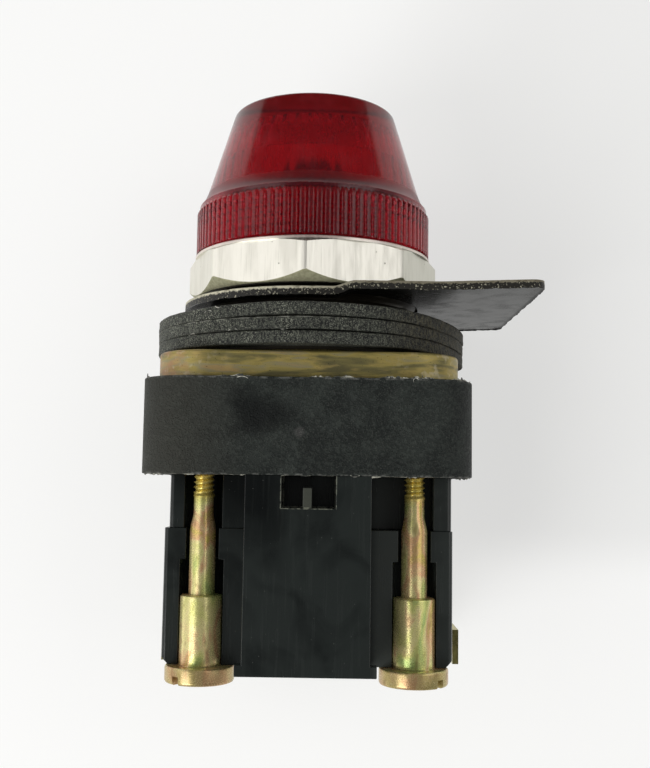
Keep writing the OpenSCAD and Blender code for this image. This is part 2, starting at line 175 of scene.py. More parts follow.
class Shader:
    """The node tree of one material."""

    def __init__(self, name: str, owner: Any = None) -> None:
        """Start an empty material of that name, or take over the nodes of a world."""
        self.material = owner or bpy.data.materials.new(name)
        self.material.use_nodes = True
        self.tree = self.material.node_tree
        self.tree.nodes.clear()
        self.place = self.out("ShaderNodeTexCoord", {}, {}, "Generated" if owner else "Object")

    def node(self, kind: str, settings: dict[str, Any], inputs: dict[Any, Any]) -> Any:
        """Add a node, set it up and then fill its sockets.

        Args:
            kind: The node's type name.
            settings: Attributes to set first; "stops" is a list of a ramp's stops.
            inputs: Values or links by socket name or number.

        Returns:
            The new node.
        """
        made = self.tree.nodes.new(kind)
        for key, value in settings.items():
            if key == "stops":
                self._stops(made.color_ramp, value)
            else:
                setattr(made, key, value)
        for key, value in inputs.items():
            target = made.inputs[key]
            if isinstance(value, Term):
                value = value.socket
            if isinstance(value, bpy.types.NodeSocket):
                self.tree.links.new(value, target)
            else:
                target.default_value = value
        return made

    @staticmethod
    def _stops(ramp: Any, stops: Sequence[tuple[float, Any]]) -> None:
        """Give a colour ramp its stops."""
        while len(ramp.elements) < len(stops):
            ramp.elements.new(1.0)
        for element, (position, colour) in zip(ramp.elements, stops):
            element.position = position
            element.color = colour

    def out(
        self, kind: str, settings: dict[str, Any], inputs: dict[Any, Any], name: Any = 0
    ) -> Any:
        """Add a node and return one of its output sockets."""
        return self.node(kind, settings, inputs).outputs[name]

    def term(
        self, kind: str, settings: dict[str, Any], inputs: dict[Any, Any], name: Any = 0
    ) -> Term:
        """Add a node and return one of its outputs as a term."""
        return Term(self, self.out(kind, settings, inputs, name))

    def stretched(self, x: float, y: float, z: float) -> Any:
        """Object position with each axis scaled."""
        return self.out("ShaderNodeMapping", {}, {"Vector": self.place, "Scale": (x, y, z)})

    def axis(self, name: str) -> Term:
        """One coordinate of the object position, in millimetres."""
        return self.part(name) * (1 / MM)

    def part(self, name: str) -> Term:
        """One component of the position as it is."""
        return self.term("ShaderNodeSeparateXYZ", {}, {0: self.place}, name)

    def ray(self, *names: str) -> Term:
        """Whether the ray is one of the named kinds."""
        path = self.node("ShaderNodeLightPath", {}, {})
        first, *rest = (Term(self, path.outputs[name]) for name in names)
        for other in rest:
            first = first.most(other)
        return first

    def noise(
        self, per_mm: float, detail: float = 3.0, vector: Any = None, warp: float = 0.0
    ) -> Term:
        """Noise of about 0.2 to 0.8 with a number of cells in a millimetre."""
        inputs = {
            "Vector": vector or self.place, "Scale": per_mm / MM,
            "Detail": detail, "Distortion": warp,
        }
        return self.term("ShaderNodeTexNoise", {}, inputs)

    def cells(self, per_mm: float) -> Term:
        """Distance to the nearest point of a random cell pattern."""
        inputs = {"Vector": self.place, "Scale": per_mm / MM}
        return self.term("ShaderNodeTexVoronoi", {"feature": "F1"}, inputs)

    def ramp(self, factor: Term, stops: Sequence[tuple[float, Any]]) -> Any:
        """Colour from a ramp."""
        return self.out("ShaderNodeValToRGB", {"stops": stops}, {0: factor})

    def mix(self, factor: Term, low: Any, high: Any) -> Any:
        """Mix of two colours."""
        settings = {"data_type": "RGBA", "blend_type": "MIX"}
        return self.out("ShaderNodeMix", settings, {"Factor": factor, 6: low, 7: high}, 2)

    def choose(self, factor: Any, low: Any, high: Any) -> Any:
        """Mix of two shaders."""
        return self.out("ShaderNodeMixShader", {}, {0: factor, 1: low, 2: high})

    def bump(self, height: Term, depth_mm: float, strength: float = 1.0, under: Any = None) -> Any:
        """Normal from a height of 0 to 1 that is so many millimetres deep."""
        inputs = {"Height": height, "Distance": depth_mm * MM, "Strength": strength}
        if under is not None:
            inputs["Normal"] = under
        return self.out("ShaderNodeBump", {}, inputs)

    def surface(self, **inputs: Any) -> bpy.types.Material:
        """Finish with one Principled BSDF, its sockets named with _ for a space.

        Args:
            inputs: Values or links of the shader's sockets.

        Returns:
            The material.
        """
        named = {key.replace("_", " "): value for key, value in inputs.items()}
        shaded = self.out("ShaderNodeBsdfPrincipled", {}, named)
        self.node("ShaderNodeOutputMaterial", {}, {"Surface": shaded})
        return self.material


# ---------------------------------------------------------------- finishes


@dataclass(frozen=True)
class Plain:
    """One colour with a fine mottle and a slight grain, for what is seldom seen."""

    name: str
    colour: Colour
    roughness: float = 0.5
    metallic: float = 0.0

    def material(self) -> bpy.types.Material:
        """Write the material."""
        shader = Shader(self.name)
        mottle = shader.noise(1.2, 4)
        base = tone(*self.colour)
        dark = tuple(0.7 * channel for channel in base[:3]) + (1.0,)
        return shader.surface(
            Base_Color=shader.mix(mottle.step(0.3, 0.7), dark, base),
            Roughness=mottle * 0.2 + (self.roughness - 0.1),
            Metallic=self.metallic,
            Normal=shader.bump(shader.noise(8, 2), 0.02, 0.3),
        )


@dataclass(frozen=True)
class RedLens:
    """Deep red see-through moulding with a scuffed skin and painted light in its inner scallops."""

    name: str = "red_lens"
    body: Colour = (206, 48, 72)
    scuffed: Colour = (214, 84, 106)
    thick: Colour = (168, 30, 44)
    density: float = 250.0
    scallops: int = 36

    def material(self) -> bpy.types.Material:
        """Write the material: a tinted clear body and a fine haze of scuffs."""
        shader = Shader(self.name)
        x, y, z = (shader.axis(name) for name in "XYZ")
        rub = shader.noise(0.45, 4, shader.stretched(1, 1, 0.5)).step(0.45, 0.75)
        drag = shader.noise(3.0, 3, shader.stretched(1, 1, 0.12)).step(0.5, 0.8)
        scratch = shader.noise(14.0, 2, shader.stretched(1, 1, 0.05)).step(0.62, 0.7)
        turn = shader.term("ShaderNodeMath", {"operation": "ARCTAN2"}, {0: y, 1: x})
        hollow = (x * x + y * y).step(126.0, 120.0) * z.step(29.6, 29.0)
        inner = hollow * z.step(26.6, 27.0)
        foot = z.step(16.7, 17.3) * z.step(19.4, 18.7)
        # Painted light: the inner scallops under the roof are painted a pale pink, as where light
        # shines through them.
        scallop_light = inner * (turn * self.scallops).wave().step(0.1, 0.8)
        clear = shader.mix(z.step(28.4, 29.4) * 0.9, tone(*self.body), tone(*self.thick))
        body = shader.mix(rub * 0.5 + drag * 0.25, clear, tone(*self.scuffed))
        shaded = shader.out("ShaderNodeBsdfPrincipled", {}, {
            "Base Color": shader.mix(scallop_light, body, (1.0, 0.45, 0.5, 1.0)),
            "Roughness": rub * 0.1 + drag * 0.08 + hollow * 0.14 + foot * 0.2 + 0.12,
            "IOR": 1.49,
            "Specular IOR Level": 0.28,
            "Transmission Weight": 0.945,
            "Normal": shader.bump(scratch, 0.006, 0.4),
        })
        inside = shader.out("ShaderNodeVolumeAbsorption", {}, {
            "Color": (0.79, 0.09, 0.19, 1.0), "Density": self.density,
        })
        shader.node("ShaderNodeOutputMaterial", {}, {"Surface": shaded, "Volume": inside})
        return shader.material


@dataclass(frozen=True)
class ClearGlass:
    """Thin clear glass of the lamp."""

    name: str = "lamp_glass"

    def material(self) -> bpy.types.Material:
        """Write the material."""
        shader = Shader(self.name)
        haze = shader.noise(0.5, 3)
        return shader.surface(
            Base_Color=(0.95, 0.96, 0.95, 1.0), Roughness=haze * 0.06 + 0.02, IOR=1.3,
            Transmission_Weight=1.0,
        )


@dataclass(frozen=True)
class TurnedNut:
    """Bright brushed nut with dull turned chamfers and a dark crescent at one corner, with painted
    shade on two side faces and a painted pink reflection on its rim.
    """

    bright: Colour = (252, 248, 236)
    dull: Colour = (188, 186, 150)

    def material(self) -> bpy.types.Material:
        """Write the material."""
        shader = Shader("ring_nut")
        x, y, z = (shader.axis(name) for name in "XYZ")
        radius = (x * x + y * y) ** 0.5
        lines = shader.noise(7.0, 3, shader.stretched(1, 1, 0.03))
        broad = shader.noise(0.5, 4, shader.stretched(1, 1, 0.3)).step(0.45, 0.7)
        nick = shader.cells(0.5).step(0.075, 0.035)
        # Painted shade: the right-front face is painted much darker and the left-front face a
        # little darker.
        side_shade = x.step(-13.05, -13.2) * 0.35 + x.step(12.1, 12.3) * 0.8
        # Both chamfers are cones: radius and height keep a fixed sum or difference on them
        low = (radius - z * 1.0714 - 12.23).step(-0.06, 0.0) * z.step(5.4, 5.3)
        top = (radius * 0.545 + z - 18.66).step(-0.05, -0.01) * z.step(8.85, 8.92)
        crescent = top * (x - 0.6).size().step(6.0, 1.5) * y.step(-12.0, -15.0)
        grime = shader.noise(2.2, 5)
        shade = broad * 0.12 + nick * 0.6 + lines.step(0.56, 0.7) * 0.14
        clean = shader.mix(side_shade, tone(*self.bright), tone(206, 205, 192))
        flat = shader.mix(shade.least(1.0), clean, tone(150, 148, 130))
        matt = shader.mix(grime.step(0.35, 0.7) * 0.6, tone(*self.dull), tone(140, 136, 104))
        turned = shader.mix(low * 0.95, flat, matt)
        dirty = shader.mix(crescent * (grime.step(0.3, 0.6) * 0.3 + 0.6), turned, tone(66, 52, 44))
        # Painted reflection: the rim's outer face is tinted pink, as where it mirrors the red lens.
        rim = z.step(9.52, 9.6) * radius.step(16.6, 16.8)
        return shader.surface(
            Base_Color=shader.mix(rim * 0.5, dirty, tone(236, 214, 206)),
            Metallic=1.0 - low * 0.75 - crescent * 0.6,
            Roughness=lines * 0.2 + broad * 0.08 + low * 0.15 + 0.26,
            Normal=shader.bump(nick, 0.04, 0.5, shader.bump(lines, 0.012, 0.6)),
        )


@dataclass(frozen=True)
class GlossBlack:
    """Smooth black skin of the legend plate, with faint drags and a few specks."""

    name: str = "plate_skin"
    colour: Colour = (22, 23, 21)

    def material(self) -> bpy.types.Material:
        """Write the material."""
        shader = Shader(self.name)
        film = shader.noise(0.35, 4).step(0.4, 0.7)
        speck = shader.cells(0.16).step(0.06, 0.03)
        drag = shader.noise(7.0, 2, shader.stretched(0.08, 1, 1)).step(0.62, 0.72)
        base = shader.mix(film * 0.4 + drag * 0.25, tone(*self.colour), tone(46, 47, 43))
        return shader.surface(
            Base_Color=shader.mix(speck * 0.9, base, tone(14, 13, 12)),
            Roughness=film * 0.1 + drag * 0.08 + 0.18,
            Specular_IOR_Level=0.05,
            Normal=shader.bump(shader.noise(0.35, 2), 0.05, 0.12),
        )


@dataclass(frozen=True)
class ShearedEdge:
    """Cut edge of sheet metal: bright above, browner to the right, torn and dark below."""

    name: str = "sheared_edge"

    def material(self) -> bpy.types.Material:
        """Write the material, which reads the mesh's own "rise" from 0 below to 1 above."""
        shader = Shader(self.name)
        rise = shader.term("ShaderNodeAttribute", {"attribute_name": "rise"}, {}, "Fac")
        ragged = shader.noise(2.2, 4) * 0.7 - 0.35
        side = shader.axis("X")
        bright = (rise + ragged).step(0.66, 0.8)
        crumb = shader.noise(4.0, 3).step(0.6, 0.68)
        torn = shader.mix(crumb, tone(30, 27, 20), tone(176, 172, 150))
        smear = shader.noise(1.1, 4, shader.stretched(1, 1, 3)).step(0.45, 0.7)
        clean = shader.mix(smear * 0.6, tone(218, 213, 188), tone(100, 94, 70))
        dirty = shader.mix(side.step(-3.0, 9.0) * 0.72, clean, tone(74, 62, 40))
        return shader.surface(
            Base_Color=shader.mix(bright, torn, dirty),
            Metallic=bright * 0.3 + 0.1,
            Roughness=crumb * 0.2 + 0.5,
            Normal=shader.bump(shader.noise(6, 3), 0.08, 0.9),
        )


@dataclass(frozen=True)
class DustyRubber:
    """Black rubber sheet with a fibrous cut edge, whitish scuffs, brown dirt and a painted
    highlight along one edge.
    """

    name: str
    seam_z: float = NO_SEAM

    def material(self) -> bpy.types.Material:
        """Write the material; seam_z is the height of a painted highlight, partly worn pale rubber,
        along its edge.
        """
        shader = Shader(self.name)
        fibre = shader.noise(3.6, 5, shader.stretched(1, 1, 0.45))
        grain = shader.noise(6.5, 4)
        side = shader.axis("X")
        patch = shader.noise(0.4, 4)
        pale = patch.step(0.42, 0.66) * side.step(12.0, -10.0)
        brown = side.step(7.0, 16.0)
        black = shader.mix(fibre.step(0.4, 0.66), tone(12, 14, 11), tone(62, 65, 56))
        dust = pale * 0.4 + side.step(-9.0, -15.0) * 0.22 + 0.32
        fleck = grain.step(0.53, 0.6) * dust.least(1.0)
        dusted = shader.mix(fleck, black, tone(150, 152, 136))
        dirt = shader.mix(fibre.step(0.4, 0.62), tone(22, 19, 12), tone(84, 72, 44))
        dirty = shader.mix(brown * 0.4, dusted, dirt)
        # Painted highlight, partly worn pale rubber: a broken pale line along the edge at seam_z,
        # on the left side.
        line = (shader.axis("Z") - self.seam_z).size().step(0.14, 0.04) * side.step(6.0, -2.0)
        thread = line * shader.noise(0.7, 4).step(0.4, 0.6)
        return shader.surface(
            Base_Color=shader.mix(thread * 0.55, dirty, tone(190, 190, 178)),
            Roughness=fibre * 0.25 + 0.6,
            Normal=shader.bump(grain, 0.1, 0.9, shader.bump(fibre, 0.18, 1.0)),
        )


@dataclass(frozen=True)
class WornChromate:
    """Yellow chromate on die-cast metal, gone patchy, with grey and copper stains, and a painted
    shadow on the barrel.
    """

    name: str = "worn_chromate"

    def material(self) -> bpy.types.Material:
        """Write the material."""
        shader = Shader(self.name)
        cloud = shader.noise(0.9, 5, shader.stretched(0.16, 0.16, 1), 0.4)
        grain = shader.noise(5.0, 4)
        patch = shader.ramp(cloud, [
            (0.34, tone(106, 100, 66)), (0.44, tone(136, 126, 76)), (0.53, tone(166, 149, 84)),
            (0.62, tone(150, 142, 106)), (0.70, tone(172, 146, 98)),
        ])
        side = shader.axis("X")
        warm = side.step(-12.0, -18.5) * shader.noise(0.7, 4).step(0.42, 0.58)
        tinted = shader.mix(warm * 0.7, patch, tone(176, 134, 100))
        gilt = shader.noise(1.4, 4, shader.stretched(0.3, 0.3, 1)).step(0.5, 0.7) * 0.5
        gilded = shader.mix(gilt, tinted, tone(190, 166, 98))
        chalk = shader.noise(0.9, 5).step(0.54, 0.66) * side.size().step(8.0, 17.0) * 0.45
        bright = shader.mix(chalk, gilded, tone(208, 196, 168))
        pit = grain.step(0.36, 0.28)
        aged = shader.mix(pit * 0.7, bright, tone(44, 40, 28))
        height = shader.axis("Z")
        fresh = height.step(9.55, 9.9)
        kept = shader.mix(fresh, aged, tone(238, 226, 176))
        # Painted shadow: from the flange's top edge up to the nut's top, the barrel is painted near
        # black, as it lies in shade under the gaskets, plate and nut.
        barrel_shadow = (height + grain * 0.4).step(-5.35, -4.95) * (1 - fresh)
        shadow_tone = shader.mix(grain, tone(20, 18, 14), tone(58, 52, 38))
        return shader.surface(
            Base_Color=shader.mix(barrel_shadow, kept, shadow_tone),
            Metallic=0.55,
            Roughness=grain * 0.25 + 0.34,
            Normal=shader.bump(grain, 0.05, 0.5),
        )


@dataclass(frozen=True)
class DustyMoulding:
    """Matt black thermoset with pale speckle, a dark stain, a round gate mark and a painted
    reflection that pales its left side.
    """

    name: str = "dusty_moulding"
    stain_at: tuple[float, float] = (-6.2, -13.2)
    mark_at: tuple[float, float] = (-0.9, -15.8)

    def material(self) -> bpy.types.Material:
        """Write the material; both places are X and Z on the front face, in millimetres."""
        shader = Shader(self.name)
        x, y, z = (shader.axis(name) for name in "XYZ")
        front = y.step(-17.0, -20.0)
        cloud = shader.noise(0.35, 5)
        speck = shader.noise(5.5, 5).step(0.5, 0.7)
        grit = shader.cells(2.6).step(0.14, 0.06)
        pebble = shader.noise(2.4, 4, None, 0.5).step(0.44, 0.62)
        mottle = cloud.step(0.35, 0.65) * 0.5 + pebble * 0.5
        ground = shader.mix(mottle, tone(27, 31, 29), tone(53, 58, 54))
        # Painted reflection: the left side is painted a paler warm grey, as where it mirrors the
        # pale surroundings.
        warm = shader.mix((x * -1).step(6.0, 17.0) * 0.6, ground, tone(66, 65, 58))
        dusted = shader.mix(speck * 0.55, warm, tone(84, 87, 82))
        aside, over = (x - self.stain_at[0]) * 0.24, (z - self.stain_at[1]) * 0.34
        reach = (aside ** 2.0 + over ** 2.0) ** 0.5
        stain = (reach + (cloud - 0.5) * 1.4).step(1.35, 0.2) * front
        stained = shader.mix(stain * 0.9, dusted, tone(14, 17, 16))
        ring = ((x - self.mark_at[0]) ** 2.0 + (z - self.mark_at[1]) ** 2.0) ** 0.5
        mark = ring.step(0.85, 0.35) * front
        marked = shader.mix(mark * (speck * 0.4 + 0.25), stained, tone(104, 102, 100))
        wide, deep = x.size(), y.size()
        outer = wide.most(deep).step(20.4, 20.8).most((wide + deep).step(37.4, 38.2))
        edge = z.step(-20.8, -21.05).most(z.step(-9.35, -9.1)) * outer
        worn = edge * shader.noise(1.3, 5).step(0.44, 0.62)
        return shader.surface(
            Base_Color=shader.mix(worn * 0.35 + grit * 0.14, marked, tone(150, 150, 144)),
            Roughness=speck * 0.15 + cloud * 0.2 + 0.5,
            Specular_IOR_Level=0.22,
            Normal=shader.bump(mark, 0.05, 0.5, shader.bump(pebble + speck, 0.09, 1.0)),
        )


@dataclass(frozen=True)
class GlossMoulding:
    """Glossy black thermoset with a thin film of dust, upright drag marks, painted shade at its
    upper left and painted light in its right bay.
    """

    name: str = "gloss_moulding"

    def material(self) -> bpy.types.Material:
        """Write the material."""
        shader = Shader(self.name)
        x, z = shader.axis("X"), shader.axis("Z")
        cloud = shader.noise(0.16, 4, None, 0.8)
        drag = shader.noise(2.4, 3, shader.stretched(1, 1, 0.06)).step(0.5, 0.72)
        speck = shader.cells(0.9).step(0.055, 0.03)
        # Painted shade: a diagonal patch at the upper left, beside the housing, is left without the
        # dust film and stays darker.
        clean = (x * 0.6 + z + (cloud - 0.5) * 10.0).step(-36.5, -27.0) * x.step(-1.0, -5.0)
        film = (1 - clean) * (cloud.step(0.3, 0.6) * 0.6 + 0.4)
        base = shader.mix(film * 0.8, tone(11, 14, 14), tone(38, 43, 41))
        dragged = shader.mix(drag * 0.12, base, tone(50, 54, 51))
        over = (x - 0.35).size() - 3.35
        under = -25.1 - z
        outline = over.most(under).size().step(0.16, 0.06) * z.step(-25.6, -25.3)
        torn = outline * shader.noise(1.6, 4).step(0.36, 0.56)
        rib = (x - 0.2).size().step(0.62, 0.52) * z.step(-22.4, -22.7) * z.step(-25.2, -25.0)
        # Painted light: the faces of the right-hand bay, and faintly those beyond it, are painted
        # paler, as where light from the left falls on them.
        inner = x.step(8.0, 9.5) * x.step(15.0, 13.5) * 0.95 + x.step(15.0, 17.0) * 0.25
        bay_light = shader.mix(inner, dragged, tone(62, 66, 63))
        flashed = shader.mix((torn * 0.75 + rib * 0.22).least(1.0), bay_light, tone(124, 126, 112))
        return shader.surface(
            Base_Color=shader.mix(speck * 0.35, flashed, tone(120, 122, 116)),
            Roughness=film * 0.1 + drag * 0.05 + 0.16,
            Specular_IOR_Level=0.4,
            Normal=shader.bump(shader.noise(0.8, 3), 0.02, 0.35),
        )


@dataclass(frozen=True)
class YellowZinc:
    """Yellow passivated zinc with iridescent green and copper patches, and painted light on its
    threads.
    """

    name: str
    seed: float = 0.0

    def material(self) -> bpy.types.Material:
        """Write the material; the seed moves its patches."""
        shader = Shader(self.name)
        shifted = shader.out("ShaderNodeMapping", {}, {
            "Vector": shader.place, "Location": (self.seed * MM, 0, 0), "Scale": (1, 1, 0.45),
        })
        cloud = shader.noise(0.34, 4, shifted, 0.7)
        colour = shader.ramp(cloud, [
            (0.34, tone(176, 196, 118)), (0.44, tone(222, 220, 136)), (0.53, tone(244, 230, 164)),
            (0.61, tone(232, 184, 138)), (0.70, tone(214, 192, 104)),
        ])
        crystal = shader.noise(5.5, 4)
        height = shader.axis("Z")
        # Painted light: the threads, which lie in the housing's shade, are painted a brighter gold.
        thread_light = shader.mix(height.step(-25.0, -23.6) * 0.8, colour, tone(232, 204, 104))
        aged = shader.mix(height.step(-45.0, -45.6) * 0.7, thread_light, tone(168, 134, 92))
        worn = shader.mix(crystal.step(0.52, 0.72) * 0.3, aged, tone(226, 216, 180))
        tarnish = shader.noise(1.3, 5, shifted).step(0.54, 0.74)
        return shader.surface(
            Base_Color=shader.mix(tarnish * 0.55, worn, tone(122, 92, 52)),
            Metallic=0.62,
            Roughness=crystal * 0.14 + tarnish * 0.12 + 0.2,
            Normal=shader.bump(crystal, 0.02, 0.3),
        )


@dataclass(frozen=True)
class PaleFlash:
    """Torn whitish edge of a moulding, and lint."""

    name: str = "pale_flash"
    colour: Colour = (176, 174, 160)

    def material(self) -> bpy.types.Material:
        """Write the material."""
        shader = Shader(self.name)
        patch = shader.noise(1.8, 4).step(0.42, 0.62)
        return shader.surface(
            Base_Color=shader.mix(patch, tone(58, 60, 54), tone(*self.colour)),
            Roughness=patch * 0.2 + 0.6,
            Normal=shader.bump(shader.noise(9, 2), 0.04, 0.6),
        )


# ---------------------------------------------------------------- forms


class Form:
    """A mesh that bmesh operators shape, in millimetres until it becomes a piece."""

    def __init__(self) -> None:
        """Start with nothing."""
        self.bm = bmesh.new()

    @classmethod
    def of_node(cls, node: str) -> "Form":
        """Start from a merged copy of a CAD node.

        Args:
            node: The node's name.

        Returns:
            The form, with flat faces made whole.
        """
        form = cls()
        form.bm.from_mesh(frame["nodes"][node].data)
        bmesh.ops.scale(form.bm, vec=Vector((1, 1, 1)) / MM, verts=form.bm.verts)
        form.merge()
        bmesh.ops.dissolve_limit(
            form.bm, angle_limit=math.radians(0.5), verts=form.bm.verts, edges=form.bm.edges
        )
        return form

    def merge(self, distance: float = 0.002) -> "Form":
        """Merge vertices that lie together."""
        bmesh.ops.remove_doubles(self.bm, verts=self.bm.verts, dist=distance)
        return self

    def recalculate(self) -> "Form":
        """Point every face outwards."""
        bmesh.ops.recalc_face_normals(self.bm, faces=self.bm.faces)
        return self

    def lathe(
        self, outline: Outline, steps: int, centre: tuple[float, float] = (0, 0)
    ) -> "Form":
        """Spin a chain of (radius, height) points round an upright axis.

        Args:
            outline: Radius and height of each point.
            steps: Number of facets in a turn.
            centre: Where the axis stands.

        Returns:
            The form itself.
        """
        x, y = centre
        ring = [self.bm.verts.new((x + radius, y, height)) for radius, height in outline]
        edges = [self.bm.edges.new(pair) for pair in zip(ring, ring[1:])]
        bmesh.ops.spin(
            self.bm, geom=ring + edges, cent=(x, y, 0), axis=(0, 0, 1),
            angle=math.tau, steps=steps, use_merge=True,
        )
        return self.merge().recalculate()

    def bevel(
        self, width: float, segments: int = 2, over_deg: float = 30.0, where: Chooser | None = None
    ) -> "Form":
        """Round the edges that turn by more than an angle.

        Args:
            width: How far from the edge the rounding starts.
            segments: Number of strips in the rounding.
            over_deg: Edges that turn by less stay as they are.
            where: Says for an edge's middle point whether it is rounded; all are by default.

        Returns:
            The form itself.
        """
        edges = [
            edge for edge in self.bm.edges
            if len(edge.link_faces) == 2 and edge.calc_face_angle() > math.radians(over_deg)
            and (where is None or where((edge.verts[0].co + edge.verts[1].co) / 2))
        ]
        bmesh.ops.bevel(
            self.bm, geom=edges, offset=width, offset_type="OFFSET", segments=segments,
            profile=0.5, affect="EDGES", material=-1, clamp_overlap=False,
        )
        return self

    def cuts(self, axis: int, places: Iterable[float]) -> "Form":
        """Cut the mesh across an axis (0 for X, 1 for Y, 2 for Z) at each place."""
        normal = [0.0, 0.0, 0.0]
        normal[axis] = 1.0
        for place in places:
            spot = [place * part for part in normal]
            self.split(spot, normal)
        return self

    def split(self, spot: Sequence[float], normal: Sequence[float]) -> None:
        """Cut every face that a plane meets."""
        every = [*self.bm.verts, *self.bm.edges, *self.bm.faces]
        bmesh.ops.bisect_plane(self.bm, geom=every, plane_co=spot, plane_no=normal, dist=1e-5)

    def thread(
        self, crest: float, root: float, pitch: float, low: float, high: float,
        centre: tuple[float, float] = (0, 0), sharp: float = 1.5,
    ) -> "Form":
        """Sink a right-hand screw thread into the rows of a cylinder, fading out at its ends.

        Args:
            crest: Radius of the cylinder.
            root: Radius at the bottom of the groove.
            pitch: Rise in a turn.
            low: Height where the thread starts.
            high: Height where it ends.
            centre: Where the axis stands.
            sharp: How narrow the crest is.

        Returns:
            The form itself.
        """
        for vertex in self.bm.verts:
            x, y, z = vertex.co.x - centre[0], vertex.co.y - centre[1], vertex.co.z
            radius = math.hypot(x, y)
            if abs(radius - crest) > 0.02 or not low < z < high:
                continue
            share = (z / pitch - math.atan2(y, x) / math.tau) % 1.0
            fade = min(1.0, (z - low) / pitch, (high - z) / pitch)
            deep = (1 - min(1.0, abs(2 * share - 1) ** sharp * 1.08)) * fade
            scale = (crest + (root - crest) * deep) / radius
            vertex.co.x, vertex.co.y = centre[0] + x * scale, centre[1] + y * scale
        return self

    def slot(
        self, centre: tuple[float, float], turn_deg: float, width: float, low: float, depth: float
    ) -> "Form":
        """Sink a screwdriver slot into the under face of a turned head.

        Args:
            centre: Where the head's axis stands.
            turn_deg: Direction that the slot runs in.
            width: Width of the slot.
            low: Height of the head's under face.
            depth: How deep the slot is.

        Returns:
            The form itself.
        """
        turn = math.radians(turn_deg)
        across = Vector((math.cos(turn), math.sin(turn), 0))
        middle = Vector((*centre, 0))
        for half in (width / 2, width / 2 - 0.02):
            for side in (-1, 1):
                self.split(middle + across * half * side, across)
        for vertex in self.bm.verts:
            inside = abs((vertex.co - middle).dot(across)) < width / 2 - 0.01
            if inside and vertex.co.z < low + depth:
                vertex.co.z = low + depth
        bmesh.ops.dissolve_degenerate(self.bm, dist=1e-4, edges=self.bm.edges)
        return self

    def move(self, shift: Callable[[Vector], Vector]) -> "Form":
        """Move each vertex to where a function puts it."""
        for vertex in self.bm.verts:
            vertex.co = shift(vertex.co)
        return self

    def object(
        self, name: str, material: bpy.types.Material, sharp_deg: float = 35.0,
        edge: bpy.types.Material | None = None,
    ) -> bpy.types.Object:
        """Turn the form into an object at the origin, in metres.

        Args:
            name: The object's name.
            material: What it is dressed in.
            sharp_deg: Edges that turn by more than this stay sharp.
            edge: What its upright faces are dressed in, if not the same.

        Returns:
            The object.
        """
        bmesh.ops.scale(self.bm, vec=Vector((1, 1, 1)) * MM, verts=self.bm.verts)
        if edge is not None:
            self.bm.normal_update()
            for face in self.bm.faces:
                face.material_index = int(abs(face.normal.z) < 0.6)
        mesh = bpy.data.meshes.new(name)
        self.bm.to_mesh(mesh)
        self.bm.free()
        mesh.shade_smooth()
        mesh.set_sharp_from_angle(angle=math.radians(sharp_deg))
        for coat in (material, edge):
            if coat is not None:
                mesh.materials.append(coat)
        made = bpy.data.objects.new(name, mesh)
        bpy.context.scene.collection.objects.link(made)
        made.modifiers.new("even", "WEIGHTED_NORMAL").keep_sharp = True
        return made


def settle(piece: bpy.types.Object, body: str, slot: Slot, *nodes: str) -> bpy.types.Object:
    """Tie a finished piece to its body and CAD nodes, and log it.

    Args:
        piece: The object, in place.
        body: The CAD body it moves with.
        slot: The record's material slot; not used.
        nodes: CAD nodes that it stands for.

    Returns:
        The piece.
    """
    if nodes:
        piece.name = nodes[0] + "_finished"
    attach(piece, body)
    if nodes:
        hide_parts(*nodes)
    LOG.info("%s rides on %s for %s", piece.name, body, ", ".join(nodes) or "no node")
    return piece


# ---------------------------------------------------------------- sub-assemblies


def rows(low: float, high: float, step: float) -> list[float]:
    """Evenly spaced heights from one to the other."""
    count = max(1, round(abs(high - low) / step))
    return [low + (high - low) * index / count for index in range(count + 1)]


